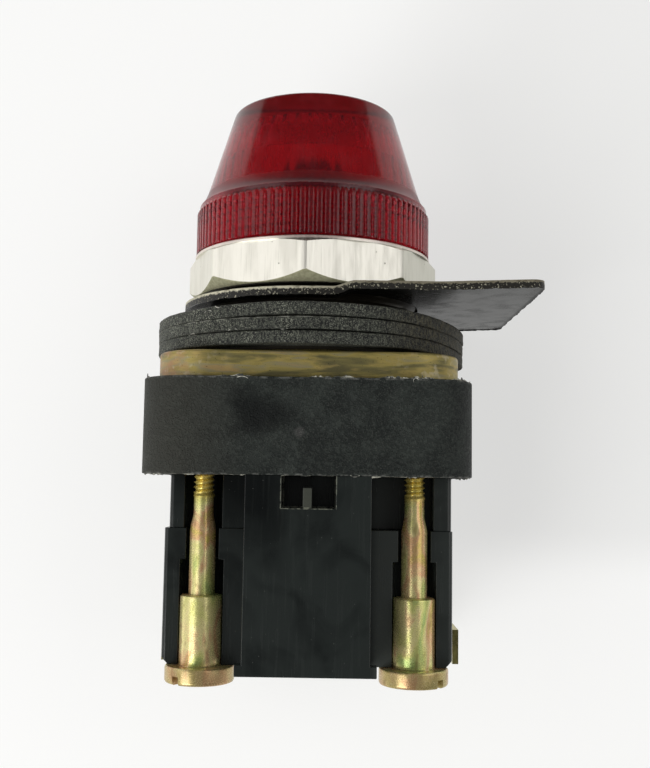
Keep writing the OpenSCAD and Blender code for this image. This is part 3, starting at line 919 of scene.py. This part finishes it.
@dataclass
class Lens:
    """Screw-on lens: ridged grip, plain cone, fluted hollow and an inner thread."""

    ridges: int = 94
    ridge_depth: float = 0.35
    steps_per_ridge: int = 8
    grip_r: float = 16.8
    grip_z: float = 10.1
    arch_z: float = 15.5
    ridge_top_z: float = 17.3
    cone_r: float = 15.4
    cone_z: float = 18.9
    tip_r: float = 11.8
    tip_z: float = 31.1
    tip_round: float = 0.6
    bore_r: float = 14.2
    thread_depth: float = 0.22
    thread_z: tuple[float, float] = (10.8, 16.8)
    pitch: float = 1.27
    shoulder_z: float = 17.8
    flutes: int = 36
    flute_in_r: float = 10.5
    flute_depth: float = 0.15
    scallop_h: float = 1.5
    scallop_depth: float = 0.35
    step_z: float = 23.5
    prism_r: float = 9.4
    prism_flare: float = 0.9
    prism_inset: float = 0.35
    roof_z: float = 28.2
    finish: RedLens = RedLens()

    def outside(self) -> Outline:
        """Radius and height from the middle of the front face down to the rim."""
        groove = self.grip_r - self.ridge_depth
        centre = (self.tip_r - self.tip_round, self.tip_z - self.tip_round)
        turn = [
            (centre[0] + self.tip_round * math.sin(math.radians(a)),
             centre[1] + self.tip_round * math.cos(math.radians(a)))
            for a in (0, 15, 30, 45, 60, 74)
        ]
        low = self.cone_z
        shoulder = [(self.cone_r + dr, low - dz) for dr, dz in ((0, 0), (0.38, 0.9), (0.8, 1.55))]
        arches = (17.1, 16.75, 16.4, 16.25, 16.1, 15.95, 15.8, 15.65, 15.5, 15.3)
        grip = [(groove, z) for z in arches]
        grip += [(groove, z) for z in rows(15.0, self.grip_z + 0.45, 1.2)]
        grip += [(groove, self.grip_z + dz) for dz in (0.3, 0.2, 0.1)]
        face = [(0, self.tip_z), (6, self.tip_z)]
        return face + turn + shoulder + grip + [(groove - 0.15, self.grip_z)]

    def inside(self) -> Outline:
        """Radius and height from the rim up to the middle of the hollow's roof."""
        bore = [(self.bore_r + 0.5, self.grip_z), (self.bore_r, self.grip_z + 0.5)]
        bore += [(self.bore_r, z) for z in rows(*self.thread_z, self.pitch / 6)]
        bore += [(self.bore_r, self.shoulder_z)]
        flute = [(self.flute_in_r, z) for z in rows(self.shoulder_z, self.step_z, 1.5)]
        foot = self.roof_z - self.scallop_h
        heights = rows(self.step_z, foot, 1.0) + rows(foot + 0.2, self.roof_z, 0.3)
        prism = [(self.prism_r, z) for z in heights]
        return bore + flute + prism + [(self.prism_r - 0.7, self.roof_z), (0, self.roof_z)]

    def mould(self, co: Vector) -> Vector:
        """Raise the ridges, the flutes and the inner thread at one point."""
        radius, turn = math.hypot(co.x, co.y), math.atan2(co.y, co.x) / math.tau
        if radius < 1:
            return co
        wanted = radius
        low, high = self.thread_z
        if abs(radius - (self.grip_r - self.ridge_depth)) < 0.02 and co.z < self.ridge_top_z:
            across = (turn * self.ridges % 1.0) * 2 - 1
            bulge = 1 - across ** 4
            top = (self.arch_z + 0.85 * bulge - co.z) / 0.25
            foot = (co.z - self.grip_z - 0.3 * (1 - bulge)) / 0.15
            wanted += self.ridge_depth * bulge * max(0.0, min(1.0, top, foot))
        elif abs(radius - self.bore_r) < 0.02 and low - 0.1 < co.z < high + 0.1:
            share = (co.z / self.pitch - turn) % 1.0
            wanted += self.thread_depth * (1 - abs(2 * share - 1))
        elif abs(radius - self.flute_in_r) < 0.02:
            wanted += self.flute_depth * abs(math.cos(math.pi * turn * self.flutes))
        elif abs(radius - self.prism_r) < 0.02:
            taper = (self.roof_z - co.z) / (self.roof_z - self.step_z)
            wave = abs(math.cos(math.pi * turn * self.flutes))
            wanted += self.prism_flare * taper - self.prism_inset + self.flute_depth * 0.8 * wave
            share = max(0.0, (co.z - self.roof_z + self.scallop_h) / self.scallop_h)
            hump = 0.5 - 0.5 * math.cos(math.tau * turn * self.flutes)
            wanted -= self.scallop_depth * share * hump
        return Vector((co.x * wanted / radius, co.y * wanted / radius, co.z))

    def build(self) -> None:
        """Make the lens."""
        form = Form().lathe(self.outside() + self.inside(), self.ridges * self.steps_per_ridge)
        form.move(self.mould).recalculate()
        settle(form.object("red_lens", self.finish.material(), 40), "lens", Slot.LENS, "lens")


@dataclass
class RingNut:
    """Octagonal nut with turned chamfers at both ends and a round rim."""

    flats: float = 33.1
    corner_deg: float = -2.0
    low: float = 3.9
    high: float = 9.5
    blank_r: float = 18.0
    waist_z: tuple[float, float] = (5.3, 8.9)
    rim_r: float = 16.9
    rim_z: float = 9.95
    bore_r: float = 15.13
    low_chamfer: float = 1.5
    low_chamfer_h: float = 1.4
    high_chamfer: float = 1.1
    high_chamfer_h: float = 0.6
    columns: int = 240

    def seat(self, co: Vector) -> Vector:
        """Place one point of the turned blank on the octagon or on a chamfer."""
        if math.hypot(co.x, co.y) < self.blank_r - 0.5:
            return co
        turn = math.atan2(co.y, co.x)
        across = (turn - math.radians(self.corner_deg)) % math.radians(45) - math.radians(22.5)
        corner = self.flats / 2 / math.cos(math.radians(22.5))
        reach = self.flats / 2 / math.cos(across)
        lowest = corner - self.low_chamfer
        highest = corner - self.high_chamfer
        tag = round(co.z, 1)
        if tag == self.low:
            reach, height = lowest, self.low
        elif tag < self.waist_z[1] - 1:
            height = self.low + (reach - lowest) * self.low_chamfer_h / self.low_chamfer
        elif tag < self.high:
            height = self.high - (reach - highest) * self.high_chamfer_h / self.high_chamfer
            height = min(height, self.high - 0.02)
        else:
            reach, height = min(reach, highest), self.high
        return Vector((reach * math.cos(turn), reach * math.sin(turn), height))

    def build(self) -> None:
        """Make the nut."""
        outline = [(self.bore_r + 0.5, self.low)]
        outline += [(self.blank_r, z) for z in (self.low, *self.waist_z, self.high)]
        outline += [
            (self.rim_r, self.high + 0.001), (self.rim_r, self.rim_z - 0.12),
            (self.rim_r - 0.12, self.rim_z), (self.bore_r + 0.4, self.rim_z),
            (self.bore_r, self.rim_z - 0.4), (self.bore_r, self.low + 0.5),
            (self.bore_r + 0.5, self.low),
        ]
        form = Form().lathe(outline, self.columns).move(self.seat).recalculate()
        form.bevel(
            0.022, 2, 20, lambda at: math.hypot(at.x, at.y) > 16.0 and at.z < self.high - 0.01
        )
        settle(form.object("ring_nut", TurnedNut().material(), 24), "nut", Slot.NUT, "ring_nut")


@dataclass
class LegendPlate:
    """Sheet metal plate with a joggle, a torn lower edge and a glossy skin."""

    thickness: float = 0.75
    low: float = 2.05
    step: float = 0.8
    step_x: float = 4.4
    bend: float = 1.5
    lip: float = 0.19
    bend_x: float = 17.0
    burred_r: float = 16.5
    turn_rad: float = 0.9
    reach: float = 30.3
    rise: float = 0.55

    def floor(self, x: float) -> float:
        """Height of the plate's underside at a place along it."""
        over = max(0.0, min(1.0, (x - self.step_x + 0.5)))
        lift = max(0.0, (x - self.bend_x) / (self.reach + 1 - self.bend_x)) * self.rise
        return self.low + self.step * over + lift

    def soften(self, x: float) -> float:
        """How far the joggle's real, softer bend lies above a sharp one."""
        share = max(0.0, min(1.0, (x - self.step_x + self.bend) / (2 * self.bend)))
        sharp = max(0.0, min(1.0, x - self.step_x + 0.5))
        return self.step * (share * share * (3 - 2 * share) - sharp)

    def build(self) -> None:
        """Make the plate."""
        form = Form.of_node("legend_plate")
        form.cuts(0, rows(-18.0, 30.1, 0.3)).cuts(1, rows(-18.0, 18.0, 0.45))
        layer = form.bm.verts.layers.float.new("rise")
        form.bm.normal_update()
        rims = {
            vertex for edge in form.bm.edges
            if len(edge.link_faces) == 2 and edge.calc_face_angle() > self.turn_rad
            for vertex in edge.verts
        }
        for vertex in form.bm.verts:
            share = (vertex.co.z - self.floor(vertex.co.x)) / self.thickness
            vertex[layer] = share
            vertex.co.z += self.soften(vertex.co.x)
            if vertex in rims and math.hypot(vertex.co.x, vertex.co.y) > self.burred_r:
                out = Vector((vertex.co.x, vertex.co.y * 1.4, 0)).normalized()
                rough = noise.noise(vertex.co * 1.7) * 0.5 + noise.noise(vertex.co * 0.5) * 0.5
                if share < 0.5:
                    aside, rise = 0.06 * rough - 0.03, -0.16 - 0.2 * rough
                else:
                    aside, rise = -0.05 + 0.02 * rough, self.lip + 0.03 * rough
                vertex.co += out * aside + Vector((0, 0, rise))
        skin, edge = GlossBlack().material(), ShearedEdge().material()
        settle(form.object("legend_plate", skin, 30, edge), "plate", Slot.PLATE, "legend_plate")


@dataclass
class Gaskets:
    """Three punched rubber washers that bow and sag where nothing backs them."""

    outer: float = 21.7
    inner: float = 15.4
    thickness: float = 1.6
    columns: int = 360
    clamped: float = 0.8
    backed_r: float = 18.4
    face_r: tuple[float, ...] = (21.2, 20.5, 19.6, 18.6, 17.5)
    lifted: tuple[float, float, float] = (0.42, 0.16, 0.0)

    def lie(self, layer: int) -> Callable[[Vector], Vector]:
        """How one layer sags and frays, as a shift of its points."""
        def shift(co: Vector) -> Vector:
            """Move one point of the layer, the more so the further out it lies."""
            radius, turn = math.hypot(co.x, co.y), math.atan2(co.y, co.x)
            out = Vector((math.cos(turn), math.sin(turn), 0))
            past = max(0.0, (radius - self.backed_r) / (self.outer - self.backed_r))
            right = max(0.0, math.cos(turn + 0.15)) ** 6
            left = max(0.0, -math.cos(turn - 0.1)) ** 6
            front = max(0.0, -math.sin(turn)) ** 4
            sag = -past ** 1.6 * (0.8 * right - 0.12 * left + 0.06 * front * (layer == 2))
            sag += past ** 1.3 * front * self.lifted[layer]
            sag += past * 0.07 * noise.noise(out * 2.2 + Vector((0, 0, layer * 5.0)))
            torn = out * 26 + Vector((0, 0, co.z * 1.3 + layer * 9.0))
            fray = past ** 4 * 0.1 * noise.noise(torn)
            fray += past ** 4 * 0.14 * noise.noise(out * 4 + Vector((0, 0, layer * 3.0)))
            return co + out * fray + Vector((0, 0, sag))
        return shift

    def build(self) -> None:
        """Make the washers."""
        for layer, name in enumerate(("gasket_front", "gasket_middle", "gasket_rear")):
            top, low = -layer * self.thickness, -(layer + 1) * self.thickness
            outline = [(self.inner, low)]
            outline += [(r, low + 0.01) for r in self.face_r[::-1]]
            outline += [(self.outer - 0.14, low + 0.01), (self.outer - 0.03, low + 0.1)]
            outline += [(self.outer, z) for z in rows(low + 0.25, top - 0.2, 0.2)]
            outline += [(self.outer - 0.04, top - 0.08), (self.outer - 0.15, top - 0.01)]
            outline += [(r, top - 0.01) for r in self.face_r]
            outline += [(self.inner, top), (self.inner, low)]
            form = Form().lathe(outline, self.columns).move(self.lie(layer)).recalculate()
            # Only the middle washer gets the painted highlight along its top edge.
            seam = top + 0.06 if layer == 1 else NO_SEAM
            rubber = DustyRubber(f"rubber_{layer + 1}", seam).material()
            washer = settle(form.object(name, rubber, 40), "main", Slot.RUBBER, name)
            if layer == 0:
                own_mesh(washer)


@dataclass
class Bushing:
    """Die-cast flange with a threaded barrel and a threaded neck."""

    barrel_r: float = 15.1
    neck_r: float = 14.1
    barrel_pitch: float = 1.5875
    neck_pitch: float = 1.27

    def build(self) -> None:
        """Make the bushing."""
        form = Form.of_node("bushing")
        form.bevel(0.35, 3, 60, lambda at: at.z < -5 and max(abs(at.x), abs(at.y)) > 15.5)
        form.cuts(2, rows(-4.7, 9.2, self.barrel_pitch / 7))
        form.cuts(2, rows(10.0, 16.5, self.neck_pitch / 7))
        form.thread(self.barrel_r, self.barrel_r - 0.75, self.barrel_pitch, -4.8, 9.3)
        form.thread(self.neck_r, self.neck_r - 0.6, self.neck_pitch, 9.9, 16.6)
        chromate = WornChromate().material()
        settle(form.object("bushing", chromate, 32), "main", Slot.BUSHING, "bushing")


@dataclass
class Housing:
    """Square moulded housing with softened edges and torn flash."""

    half: float = 21.05
    corner: float = 6.0
    top: float = -9.0
    low: float = -21.1
    flash_steps: int = 900
    flash_inset: float = 0.2
    flash_skin: float = 0.07

    def round_plan(self, turn: float, inset: float) -> Vector:
        """The point of the housing's outline in one direction, a little inside it."""
        way = Vector((math.cos(turn), math.sin(turn), 0))
        flat = self.half - inset
        reach = flat / max(abs(way.x), abs(way.y))
        middle = flat - self.corner
        if min(abs(way.x), abs(way.y)) * reach > middle:
            centre = Vector((math.copysign(middle, way.x), math.copysign(middle, way.y), 0))
            along = way.dot(centre)
            reach = along + math.sqrt(along * along - centre.length_squared + self.corner ** 2)
        return way * reach

    def flash(self, name: str, height: float, up: int, tall: float) -> None:
        """Stand a thin ragged fin of torn moulding skin on one edge.

        Args:
            name: The piece's name.
            height: Where the fin's foot is.
            up: 1 where it stands up and -1 where it hangs.
            tall: Its greatest height.
        """
        form = Form()
        bmesh.ops.create_circle(form.bm, segments=self.flash_steps, radius=1)
        foot = list(form.bm.verts)
        raised = bmesh.ops.extrude_edge_only(form.bm, edges=form.bm.edges[:])["geom"]
        crest = {item for item in raised if isinstance(item, bmesh.types.BMVert)}
        for vertex in [*foot, *crest]:
            spot = self.round_plan(math.atan2(vertex.co.y, vertex.co.x), self.flash_inset)
            if vertex in crest:
                clump = noise.noise(spot * 0.45 + Vector((0, 0, height)))
                tear = noise.noise(spot * 3.1 + Vector((5, 0, height)))
                rise = tall * max(0.0, clump + 0.12) * max(0.1, 0.7 + 1.3 * tear)
                lean = 0.06 * noise.noise(spot * 1.7)
                tip = height + up * (0.02 + rise)
                vertex.co = spot * (1 + lean / self.half) + Vector((0, 0, tip))
            else:
                vertex.co = spot + Vector((0, 0, height - up * 0.15))
        form.recalculate()
        bmesh.ops.solidify(form.bm, geom=form.bm.faces[:], thickness=self.flash_skin)
        settle(form.object(name, PaleFlash().material(), 40), "main", Slot.HOUSING)

    def build(self) -> None:
        """Make the housing."""
        form = Form.of_node("housing")
        form.bevel(
            0.16, 3, 60,
            lambda at: max(abs(at.x), abs(at.y)) > 14.5 and math.hypot(at.x, at.y) > 19,
        )
        material = DustyMoulding().material()
        settle(form.object("housing", material, 32), "main", Slot.HOUSING, "housing")
        self.flash("flash_upper", self.top, 1, 0.5)
        self.flash("flash_lower", self.low, -1, 0.3)


@dataclass
class Lint:
    """Short stray fibres that cling to the front of the gaskets, plate and housing."""

    thickness: float = 0.045
    sag: float = 0.12
    colour: Colour = (214, 212, 200)

    def fibre(
        self, name: str, place: tuple[float, float, float], lean_deg: float, length: float,
        curl: float,
    ) -> None:
        """Lay one curled fibre on a face that looks forward.

        Args:
            name: The piece's name.
            place: Its middle.
            lean_deg: How far it leans from upright.
            length: Its length.
            curl: How far it turns over its length, in radians.
        """
        half = length / 2
        shaft = [(self.thickness, height) for height in rows(-half, half, 0.12)]
        lean = math.radians(lean_deg)

        def lay(co: Vector) -> Vector:
            """Curl one point of the straight fibre, then lean it and put it in place."""
            bend = curl * co.z / length
            arc = length / curl
            x = arc * (1 - math.cos(bend)) + co.x * math.cos(bend)
            z = arc * math.sin(bend) - co.x * math.sin(bend)
            y = co.y - self.sag * (1 - abs(co.z) / half)
            return Vector((
                place[0] + x * math.cos(lean) + z * math.sin(lean), place[1] + y,
                place[2] - x * math.sin(lean) + z * math.cos(lean),
            ))

        form = Form().lathe([(0, -half), *shaft, (0, half)], 8).move(lay).recalculate()
        material = PaleFlash("lint", self.colour).material()
        settle(form.object(name, material, 60), "main", Slot.HOUSING)

    def build(self) -> None:
        """Lay the fibres."""
        places = (
            ((-12.9, -17.65, -0.35), 80, 1.0, 1.4), ((-11.6, -18.5, -0.1), 100, 0.8, -1.8),
            ((-15.2, -15.6, -3.1), 70, 0.9, 1.2), ((-9.5, -19.6, -2.9), 85, 1.3, 1.6),
            ((-3.1, -21.6, -3.2), 92, 1.1, -1.1), ((13.2, -21.1, -9.0), 60, 1.0, 3.2),
            ((14.3, -21.1, -8.95), 110, 0.9, -3.4), ((-8.0, -21.1, -9.05), 95, 1.4, 1.0),
            ((6.0, -21.1, -21.2), 88, 1.2, -1.5),
        )
        for number, (place, lean, length, curl) in enumerate(places):
            self.fibre(f"lint_{number + 1}", place, lean, length, curl)


@dataclass
class TransformerModule:
    """Plug-on module: moulded base and cover with a notch, slots and wire bays."""

    def build(self) -> None:
        """Make the two mouldings."""
        material = GlossMoulding().material()
        for name in ("module_base", "module_cover"):
            form = Form.of_node(name).bevel(0.1, 2, 50)
            settle(form.object(name, material, 32), "main", Slot.MODULE, name)


@dataclass
class CaptiveScrews:
    """Four long stepped screws with real thread turns."""

    head_r: float = 4.45
    head_h: float = 2.1
    seat_z: float = -45.3
    collar_r: float = 2.7
    collar_z: float = -36.5
    shank_r: float = 1.675
    neck_r: float = 1.28
    neck_z: float = -27.4
    thread_r: float = 1.37
    root_r: float = 1.08
    pitch: float = 0.66
    thread_z: float = -23.9
    top_z: float = -15.6
    slot_w: float = 1.0
    slot_h: float = 1.1

    def outline(self) -> Outline:
        """Radius and height from the slotted face up to the thread's end."""
        foot, seat, collar = self.seat_z - self.head_h, self.seat_z, self.collar_z
        turned = [
            (0, foot), (self.head_r - 0.32, foot), (self.head_r - 0.12, foot + 0.08),
            (self.head_r - 0.02, foot + 0.26), (self.head_r, foot + 0.45),
            (self.head_r, seat - 0.3), (self.head_r - 0.05, seat - 0.1),
            (self.head_r - 0.2, seat), (self.collar_r + 0.1, seat), (self.collar_r, seat + 0.1),
            (self.collar_r, collar - 0.3), (self.collar_r - 0.06, collar - 0.12),
            (self.collar_r - 0.3, collar), (self.shank_r + 0.08, collar),
            (self.shank_r, collar + 0.08),
            (self.shank_r, self.neck_z - 0.8), (self.shank_r - 0.08, self.neck_z - 0.2),
            (self.neck_r + 0.08, self.neck_z + 0.8), (self.neck_r, self.neck_z + 1.3),
            (self.neck_r, self.thread_z - 0.02),
        ]
        heights = rows(self.thread_z, self.top_z - 0.4, self.pitch / 10)
        threaded = [(self.thread_r, z) for z in heights]
        return turned + threaded + [(self.neck_r - 0.25, self.top_z), (0, self.top_z)]

    def build(self) -> None:
        """Make the screws."""
        turns = {"front_left": -36, "front_right": 45, "back_left": 12, "back_right": -70}
        for number, (place, turn) in enumerate(turns.items()):
            node = "captive_screw_" + place
            low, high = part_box(node)
            centre = ((low[0] + high[0]) / 2 / MM, (low[1] + high[1]) / 2 / MM)
            form = Form().lathe(self.outline(), 72, centre)
            form.thread(
                self.thread_r, self.root_r, self.pitch, self.thread_z, self.top_z - 0.3, centre, 2.2
            )
            form.slot(centre, turn, self.slot_w, self.seat_z - self.head_h, self.slot_h)
            zinc = YellowZinc(node, 7.0 * number).material()
            settle(form.object(node, zinc, 32), "screw_" + place, Slot.ZINC, node)


# ---------------------------------------------------------------- stage


@dataclass
class Stage:
    """Camera, lamps, world and the sheet that the object lies on."""

    eye: tuple[float, float, float] = (2.5, -145.0, -22.0)
    pitch_deg: float = 5.6
    yaw_deg: float = -0.16
    roll_deg: float = 0.87
    focal: float = 56.0
    sheet_y: float = 22.2
    sheet_half: float = 700.0
    left: float = 0.64
    right: float = 0.46
    above: float = 0.08
    dim: float = 0.09
    ambient: float = 0.42
    glow: float = 1.1
    bounce: float = 0.4
    lit_share: float = 0.55

    def camera(self) -> None:
        """Stand the camera where it looks up at the object's front."""
        lens = bpy.data.cameras.new("camera")
        lens.lens = self.focal
        lens.sensor_fit = "HORIZONTAL"
        lens.sensor_width = 36.0
        lens.clip_start = 0.005
        lens.clip_end = 10.0
        view = bpy.data.objects.new("camera", lens)
        level = Matrix.Rotation(math.radians(90), 4, "X")
        turn = Matrix.Rotation(-math.radians(self.yaw_deg), 4, "Z")
        tilt = Matrix.Rotation(math.radians(self.pitch_deg), 4, "X")
        roll = Matrix.Rotation(math.radians(self.roll_deg), 4, "Z")
        view.matrix_world = Matrix.Translation(Vector(self.eye) * MM) @ turn @ level @ tilt @ roll
        bpy.context.scene.collection.objects.link(view)
        bpy.context.scene.camera = view

    def lamp(self, name: str, place: tuple[float, float, float], side: float, watts: float) -> None:
        """Hang one square soft lamp that faces the object."""
        light = bpy.data.lights.new(name, "AREA")
        light.size = side
        light.energy = watts
        lamp = bpy.data.objects.new(name, light)
        lamp.location = place
        lamp.rotation_euler = (-Vector(place)).to_track_quat("-Z", "Y").to_euler()
        bpy.context.scene.collection.objects.link(lamp)

    def world(self) -> None:
        """Give a pale surround that is dim behind the camera, so gloss stays dark there."""
        world = bpy.data.worlds.new("world")
        bpy.context.scene.world = world
        shader = Shader("world", world)
        front = shader.part("Y").step(-0.1, -0.65)
        sides = shader.mix(shader.part("X").step(-0.4, 0.4), grey(self.left), grey(self.right))
        roofed = shader.mix(shader.part("Z").step(0.15, 0.7), sides, grey(self.above))
        seen = shader.mix(front, roofed, grey(self.dim))
        mirrored = shader.out("ShaderNodeBackground", {}, {"Color": seen})
        even = {"Color": (1, 1, 0.99, 1), "Strength": self.ambient}
        soft = shader.out("ShaderNodeBackground", {}, even)
        shown = shader.out("ShaderNodeBackground", {}, {"Color": (0.93, 0.93, 0.92, 1)})
        sharp = shader.ray("Is Glossy Ray", "Is Transmission Ray")
        final = shader.choose(
            shader.ray("Is Camera Ray"), shader.choose(sharp, soft, mirrored), shown
        )
        shader.node("ShaderNodeOutputWorld", {}, {"Surface": final})

    def sheet(self) -> None:
        """Lay the pale sheet behind the object, with a painted shadow to the object's right; it is
        clear from its far side.
        """
        shader = Shader("sheet_white")
        x, z = shader.axis("X"), shader.axis("Z")
        # Painted shadow: the sheet is painted darker to the right of the object, above the module's
        # lower part.
        shade = x.step(5.0, 40.0) * z.step(-38.0, -28.0)
        white = shader.mix(shade, (1.0, 1.0, 0.99, 1), (0.86, 0.86, 0.85, 1))
        lit = shader.out("ShaderNodeBsdfDiffuse", {}, {"Color": (0.9, 0.9, 0.89, 1)})
        glow = shader.out("ShaderNodeEmission", {}, {"Color": white, "Strength": self.glow})
        faint = shader.out("ShaderNodeEmission", {}, {"Color": white, "Strength": self.bounce})
        bright = shader.choose(shader.ray("Is Diffuse Ray"), glow, faint)
        paper = shader.choose(self.lit_share, lit, bright)
        clear = shader.out("ShaderNodeBsdfTransparent", {}, {})
        behind = shader.out("ShaderNodeNewGeometry", {}, {}, "Backfacing")
        shown = shader.choose(behind, paper, clear)
        shader.node("ShaderNodeOutputMaterial", {}, {"Surface": shown})
        form = Form()
        bmesh.ops.create_grid(form.bm, x_segments=1, y_segments=1, size=self.sheet_half)
        upright = Matrix.Rotation(math.pi / 2, 3, "X")
        bmesh.ops.rotate(form.bm, cent=(0, 0, 0), matrix=upright, verts=form.bm.verts)
        bmesh.ops.translate(form.bm, vec=(0, self.sheet_y, 0), verts=form.bm.verts)
        form.object("sheet", shader.material)

    def build(self) -> None:
        """Set up the whole stage."""
        bpy.context.scene.view_settings.view_transform = "Standard"
        self.camera()
        self.world()
        self.sheet()
        self.lamp("lamp_key", (-0.33, -0.40, -0.28), 0.30, 1.5)
        self.lamp("lamp_left", (-0.42, -0.36, 0.09), 0.40, 0.47)
        self.lamp("lamp_right", (0.40, -0.41, 0.07), 0.38, 0.50)


def dress_frame() -> None:
    """Give every CAD node that still shows a plain finish of its slot."""
    finishes = {
        Slot.LENS: ((90, 20, 26), 0.2, 0.0), Slot.RUBBER: ((60, 62, 54), 0.8, 0.0),
        Slot.NUT: ((235, 235, 225), 0.3, 1.0), Slot.PLATE: ((60, 60, 56), 0.3, 0.0),
        Slot.BUSHING: ((120, 104, 60), 0.5, 0.6), Slot.HOUSING: ((55, 60, 54), 0.7, 0.0),
        Slot.MODULE: ((22, 25, 22), 0.3, 0.0), Slot.ZINC: ((200, 190, 120), 0.3, 1.0),
        Slot.BRASS: ((205, 170, 95), 0.35, 1.0), Slot.STEEL: ((180, 180, 176), 0.35, 1.0),
        Slot.CORE: ((80, 78, 76), 0.6, 0.5), Slot.BOBBIN: ((225, 220, 200), 0.5, 0.0),
        Slot.COPPER: ((175, 100, 60), 0.4, 0.8),
    }
    made = {Slot.GLASS: ClearGlass().material()}
    for part in frame["record"]["subparts"]:
        slot = Slot(part["material_slot"])
        if slot not in made:
            made[slot] = Plain(slot.value, *finishes[slot]).material()
        mesh = frame["nodes"][part["node"]].data
        mesh.materials.clear()
        mesh.materials.append(made[slot])


def shorten_spring() -> None:
    """Give the contact spring a mesh of its own."""
    foot, top, stroke = -12.6, -8.9, 1.2
    spring, anchor = frame["nodes"]["contact_spring"], (0, 0, foot * MM)
    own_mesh(spring)


def main() -> None:
    """Build the stage and every sub-assembly in order."""
    Stage().build()
    dress_frame()
    shorten_spring()
    parts = (
        Lens(), RingNut(), LegendPlate(), Gaskets(), Bushing(), Housing(), Lint(),
        TransformerModule(), CaptiveScrews(),
    )
    for part in parts:
        part.build()


if __name__ == "__main__":
    logging.basicConfig(level=logging.INFO)
    main()
